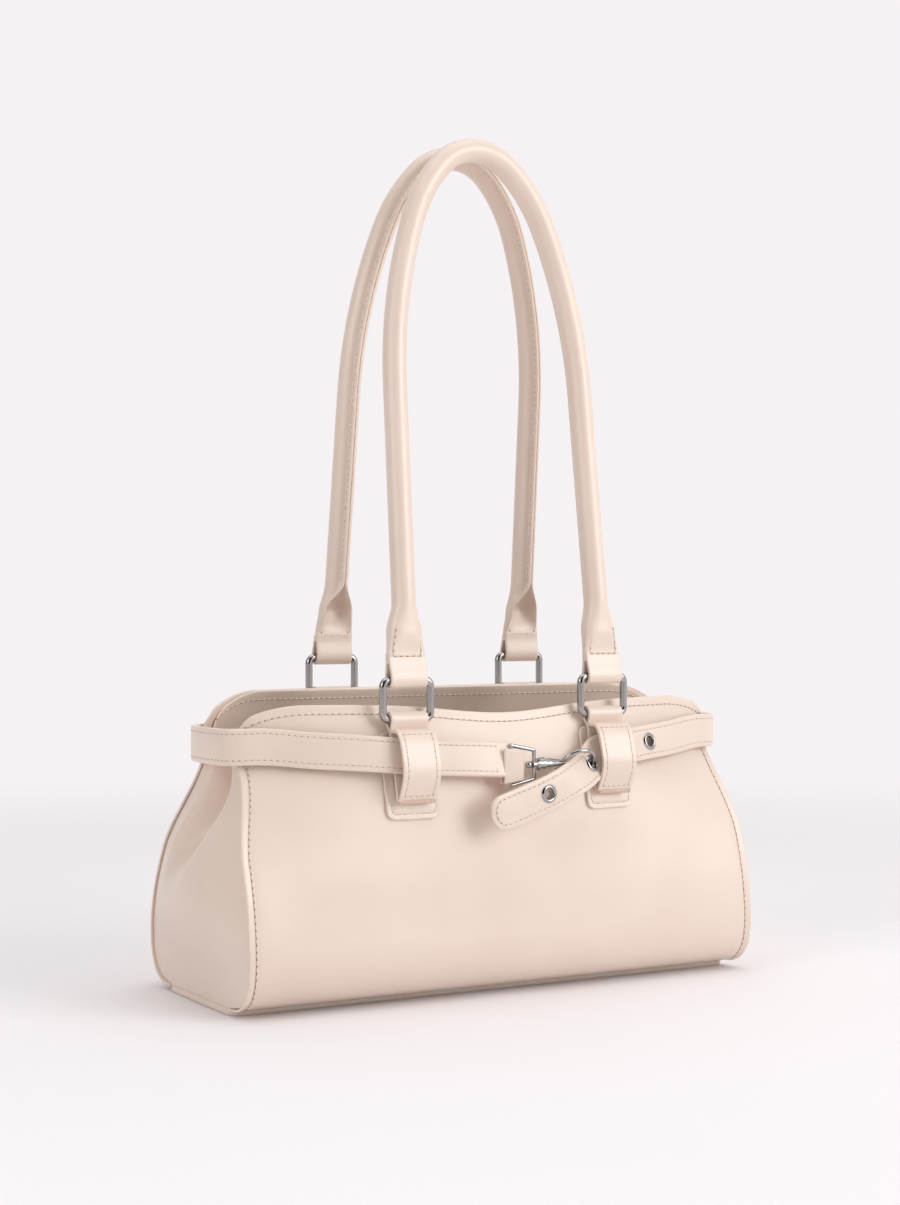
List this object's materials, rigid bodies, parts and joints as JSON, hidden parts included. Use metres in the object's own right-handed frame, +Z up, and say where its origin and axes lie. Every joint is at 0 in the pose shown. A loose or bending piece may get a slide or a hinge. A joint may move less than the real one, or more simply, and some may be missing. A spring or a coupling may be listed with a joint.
{
  "type": "top handle bag",
  "caption": "Slouchy cream leather top handle bag with two long rolled handles on metal rings and a belt with a swivel snap hook round the mouth.",
  "frame": {"origin": "middle of the base, on the floor", "axes": "+Z up, +X to the right seen from the front, the front with the clasp faces -Y"},
  "size_m": [0.3088, 0.1376, 0.432],
  "materials": {
    "leather": "smooth, fine grain, slight gloss",
    "lining_cloth": "woven, matte",
    "polished_nickel": "polished",
    "steel": "plain",
    "board": "plain",
    "cord": "twisted cotton"
  },
  "bodies": {
    "bag": {"front_panel": "leather", "back_panel": "leather", "left_gusset": "leather", "right_gusset": "leather", "base_welt": "leather", "base_panel": "leather", "base_board": "board", "base_lining": "lining_cloth", "front_facing": "leather", "back_facing": "leather", "front_lining": "lining_cloth", "back_lining": "lining_cloth", "left_lining": "lining_cloth", "right_lining": "lining_cloth", "snap_socket": "steel", "snap_stud": "steel", "belt": "leather", "belt_eyelets": "polished_nickel", "clasp_loop": "polished_nickel", "front_left_patch": "leather", "front_right_patch": "leather", "back_left_patch": "leather", "back_right_patch": "leather", "front_left_chape": "leather", "front_right_chape": "leather", "back_left_chape": "leather", "back_right_chape": "leather"},
    "front_rings": {"front_left_ring": "polished_nickel", "front_right_ring": "polished_nickel"},
    "front_handle": {"front_handle_cover": "leather", "front_handle_core": "cord"},
    "back_rings": {"back_left_ring": "polished_nickel", "back_right_ring": "polished_nickel"},
    "back_handle": {"back_handle_cover": "leather", "back_handle_core": "cord"},
    "snap_hook": {"clasp_hook": "polished_nickel", "clasp_swivel_pin": "polished_nickel", "clasp_gate_pin": "steel", "clasp_gate_spring": "steel"},
    "hook_gate": {"clasp_gate": "polished_nickel"}
  },
  "joints": [
    {"name": "front_rings_swing", "type": "hinge", "parent": "bag", "child": "front_rings", "pos_m": [0, -0.05109, 0.1381], "axis": [1, 0, 0], "range_deg": [0, 65]},
    {"name": "front_handle_swing", "type": "hinge", "parent": "front_rings", "child": "front_handle", "pos_m": [0, -0.05109, 0.1571], "axis": [1, 0, 0], "range_deg": [0, 50]},
    {"name": "back_rings_swing", "type": "hinge", "parent": "bag", "child": "back_rings", "pos_m": [0, 0.03049, 0.1475], "axis": [-1, 0, 0], "range_deg": [0, 65]},
    {"name": "back_handle_swing", "type": "hinge", "parent": "back_rings", "child": "back_handle", "pos_m": [0, 0.03049, 0.1665], "axis": [-1, 0, 0], "range_deg": [0, 50]},
    {"name": "hook_swivel", "type": "hinge", "parent": "bag", "child": "snap_hook", "pos_m": [0.0078, -0.06382, 0.1145], "axis": [1, 0, 0], "range_deg": [-8, 4]},
    {"name": "gate_swing", "type": "hinge", "parent": "snap_hook", "child": "hook_gate", "pos_m": [0.02476, -0.06102, 0.1118], "axis": [0, -0.6947, -0.7193], "range_deg": [0, 22], "stiffness_Nm_per_rad": 0.002, "springref_deg": -11.46}
  ]
}
